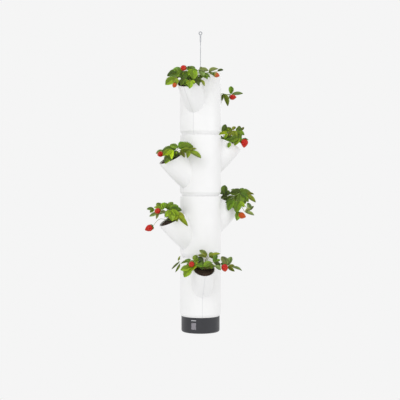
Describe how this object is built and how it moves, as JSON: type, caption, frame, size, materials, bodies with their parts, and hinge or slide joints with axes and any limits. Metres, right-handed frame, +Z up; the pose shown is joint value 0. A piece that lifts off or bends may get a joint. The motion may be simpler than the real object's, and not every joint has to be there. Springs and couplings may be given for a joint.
{
  "type": "vertical planter tower",
  "caption": "Hanging vertical planter tower: white tube modules with slanted plant spouts turn on a dark water reservoir base carried by one steel cable.",
  "frame": {"origin": "centre of the bore in the eye that the tower hangs by", "axes": "+Z up along the cable, -Y towards the front with the level window, +X to the right seen from the front"},
  "size_m": [0.4531, 0.4136, 1.2445],
  "materials": {
    "white_shell": "white injection moulded plastic with a satin surface",
    "clip_plastic": "grey nylon spring clip",
    "inner_plastic": "dark grey moulded plastic",
    "base_plastic": "charcoal moulded plastic with a satin surface",
    "potting_soil": "damp dark brown potting soil",
    "strawberry_plant": "fresh green leaves with red berries",
    "wick_felt": "pale porous felt rod",
    "clear_window": "clear moulded plastic",
    "seal_rubber": "black rubber",
    "mark_plastic": "pale grey plastic inlay",
    "float_foam": "pale closed-cell foam",
    "steel_fitting": "turned stainless steel",
    "steel_cable": "stranded stainless steel"
  },
  "bodies": {
    "root": {"base_cup": "base_plastic", "cable_anchor": "base_plastic", "gauge_frame": "inner_plastic", "reservoir_lid": "inner_plastic", "wick_rods": "wick_felt", "level_window": "clear_window", "window_gasket": "seal_rubber", "full_mark": "mark_plastic", "anchor_washer": "steel_fitting", "stop_sleeve": "steel_fitting", "hanging_cable": "steel_cable", "swage_eye": "steel_fitting"},
    "gauge_float": {"level_float": "float_foam"},
    "module_4": {"module_4_shell_left": "white_shell", "module_4_shell_right": "white_shell", "module_4_shell_clips": "clip_plastic", "module_4_floor": "inner_plastic", "module_4_tube_soil": "potting_soil", "module_4_pocket_soil": "potting_soil", "module_4_upper_plant": "strawberry_plant", "module_4_lower_plant": "strawberry_plant"},
    "module_3": {"module_3_shell_left": "white_shell", "module_3_shell_right": "white_shell", "module_3_shell_clips": "clip_plastic", "module_3_floor": "inner_plastic", "module_3_tube_soil": "potting_soil", "module_3_pocket_soil": "potting_soil", "module_3_upper_plant": "strawberry_plant", "module_3_lower_plant": "strawberry_plant"},
    "module_2": {"module_2_shell_left": "white_shell", "module_2_shell_right": "white_shell", "module_2_shell_clips": "clip_plastic", "module_2_floor": "inner_plastic", "module_2_tube_soil": "potting_soil", "module_2_pocket_soil": "potting_soil", "module_2_upper_plant": "strawberry_plant", "module_2_lower_plant": "strawberry_plant"},
    "module_1": {"module_1_shell_left": "white_shell", "module_1_shell_right": "white_shell", "module_1_shell_clips": "clip_plastic", "module_1_floor": "inner_plastic", "module_1_tube_soil": "potting_soil", "module_1_pocket_soil": "potting_soil", "module_1_upper_plant": "strawberry_plant", "module_1_lower_plant": "strawberry_plant"},
    "cover": {"top_cover": "white_shell", "cover_grommet": "seal_rubber"}
  },
  "joints": [
    {"name": "module_4_turn", "type": "hinge", "parent": "root", "child": "module_4", "pos_m": [0, 0, -1.176], "axis": [0, 0, 1], "continuous": true},
    {"name": "module_3_turn", "type": "hinge", "parent": "module_4", "child": "module_3", "pos_m": [0, 0, -0.924], "axis": [0, 0, 1], "continuous": true},
    {"name": "module_2_turn", "type": "hinge", "parent": "module_3", "child": "module_2", "pos_m": [0, 0, -0.672], "axis": [0, 0, 1], "continuous": true},
    {"name": "module_1_turn", "type": "hinge", "parent": "module_2", "child": "module_1", "pos_m": [0, 0, -0.42], "axis": [0, 0, 1], "continuous": true},
    {"name": "cover_lift", "type": "slide", "parent": "module_1", "child": "cover", "axis": [0, 0, 1], "range_m": [0, 0.08]},
    {"name": "float_rise", "type": "slide", "parent": "root", "child": "gauge_float", "axis": [0, 0, 1], "range_m": [0, 0.019]}
  ]
}
